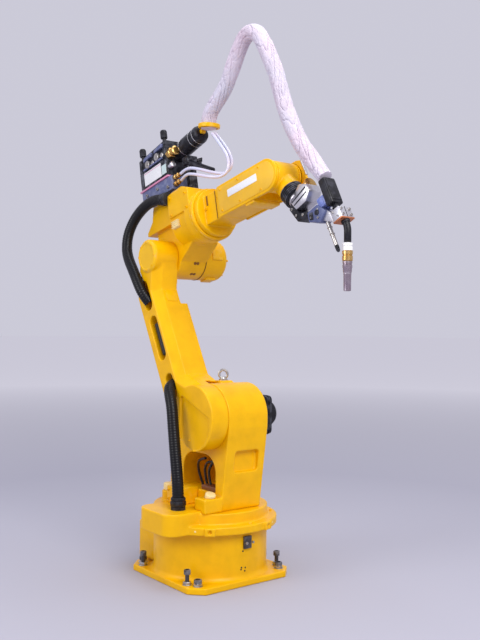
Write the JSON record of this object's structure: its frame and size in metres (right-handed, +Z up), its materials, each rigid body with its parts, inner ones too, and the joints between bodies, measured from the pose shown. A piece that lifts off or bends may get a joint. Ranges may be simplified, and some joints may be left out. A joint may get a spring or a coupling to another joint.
{
  "type": "industrial robot arm",
  "caption": "Yellow jointed robot arm for arc welding: round base on a foot plate, swivelling column, leaning lower arm, elbow with wire feeder, forearm, wrist and torch with a sleeved cable.",
  "frame": {"origin": "on the swivel axis, at the underside of the foot plate", "axes": "+X forward along the forearm's reach, +Y to the robot's left, +Z up"},
  "size_m": [1.0692, 0.481, 1.8126],
  "materials": {
    "casting_paint": "satin",
    "cover_paint": "satin",
    "cap_paint": "satin",
    "black_housing": "satin",
    "black_plastic": "matte",
    "conduit_rubber": "satin",
    "zinc_steel": "satin",
    "silver_metal": "satin",
    "blue_plate": "satin",
    "pink_rail": "satin",
    "label_white": "gloss",
    "brass": "polished",
    "sleeve_fabric": "soft sheen",
    "hose_clear": "gloss",
    "ceramic_white": "satin",
    "terminal_brown": "matte",
    "cable_black": "matte"
  },
  "bodies": {
    "base": {"base_casting": "casting_paint", "connector_box": "casting_paint", "stop_block": "zinc_steel", "floor_bolts": "zinc_steel", "jack_bolts": "zinc_steel"},
    "swivel": {"turntable": "casting_paint", "shoulder_column": "casting_paint", "shoulder_motor": "black_housing", "lifting_eye": "zinc_steel", "stop_bumpers": "cap_paint", "conduit_gland": "black_plastic", "cable_block": "cover_paint", "terminal_box": "terminal_brown", "column_cables": "cable_black", "lower_conduit": "conduit_rubber"},
    "lower_arm": {"lower_arm_casting": "casting_paint", "elbow_side_cover": "cover_paint", "arm_cables": "cable_black", "upper_conduit": "conduit_rubber"},
    "elbow": {"elbow_casting": "casting_paint", "elbow_motor_cover": "casting_paint", "elbow_stopper": "cap_paint", "conduit_fitting": "black_plastic", "feeder_base_plate": "blue_plate", "feeder_rail": "pink_rail", "feeder_housing": "black_housing", "drive_rolls": "zinc_steel", "pressure_knobs": "black_plastic", "feeder_label": "label_white", "feeder_motor": "black_housing", "brass_fittings": "brass", "feeder_stand": "black_housing", "sleeve_ring": "cover_paint", "feeder_hoses": "hose_clear", "sleeve_rise": "sleeve_fabric"},
    "forearm": {"forearm_casting": "casting_paint", "forearm_cover_right": "cover_paint", "forearm_cover_left": "cover_paint", "forearm_label": "label_white", "fork_plate": "silver_metal", "sleeve_crest": "sleeve_fabric"},
    "wrist": {"wrist_housing": "casting_paint", "wrist_flange_cover": "black_housing", "sleeve_drop": "sleeve_fabric"},
    "tool": {"tool_adaptor": "silver_metal", "torch_bracket": "black_housing", "breakaway_block": "blue_plate", "sensor_block": "blue_plate", "torch_clamp": "silver_metal", "cable_cover": "black_plastic", "blow_rod": "zinc_steel", "torch_neck": "black_plastic", "torch_insulator": "ceramic_white", "torch_body": "brass", "nozzle_holder": "zinc_steel", "gas_nozzle": "zinc_steel"}
  },
  "joints": [
    {"name": "swivel_turn", "type": "hinge", "parent": "base", "child": "swivel", "pos_m": [0, 0, 0.1735], "axis": [0, 0, 1], "range_deg": [-165, 165]},
    {"name": "shoulder_lean", "type": "hinge", "parent": "swivel", "child": "lower_arm", "pos_m": [0.08, -0.066, 0.535], "axis": [0, 1, 0], "range_deg": [-32, 118], "deforming": ["lower_conduit"]},
    {"name": "elbow_bend", "type": "hinge", "parent": "lower_arm", "child": "elbow", "pos_m": [-0.20872, -0.04, 1.07801], "axis": [0, -1, 0], "range_deg": [-45, 90], "deforming": ["upper_conduit"]},
    {"name": "forearm_roll", "type": "hinge", "parent": "elbow", "child": "forearm", "pos_m": [0.01587, 0, 1.21999], "axis": [0.9763, 0, 0.2164], "range_deg": [-150, 150], "deforming": ["sleeve_rise"]},
    {"name": "wrist_tilt", "type": "hinge", "parent": "forearm", "child": "wrist", "pos_m": [0.34781, 0, 1.29358], "axis": [0, 1, 0], "range_deg": [-155, 48], "deforming": ["sleeve_crest"]},
    {"name": "flange_turn", "type": "hinge", "parent": "wrist", "child": "tool", "pos_m": [0.43234, 0, 1.2201], "axis": [0.7547, 0, -0.6561], "range_deg": [-200, 200], "deforming": ["sleeve_drop"]}
  ]
}
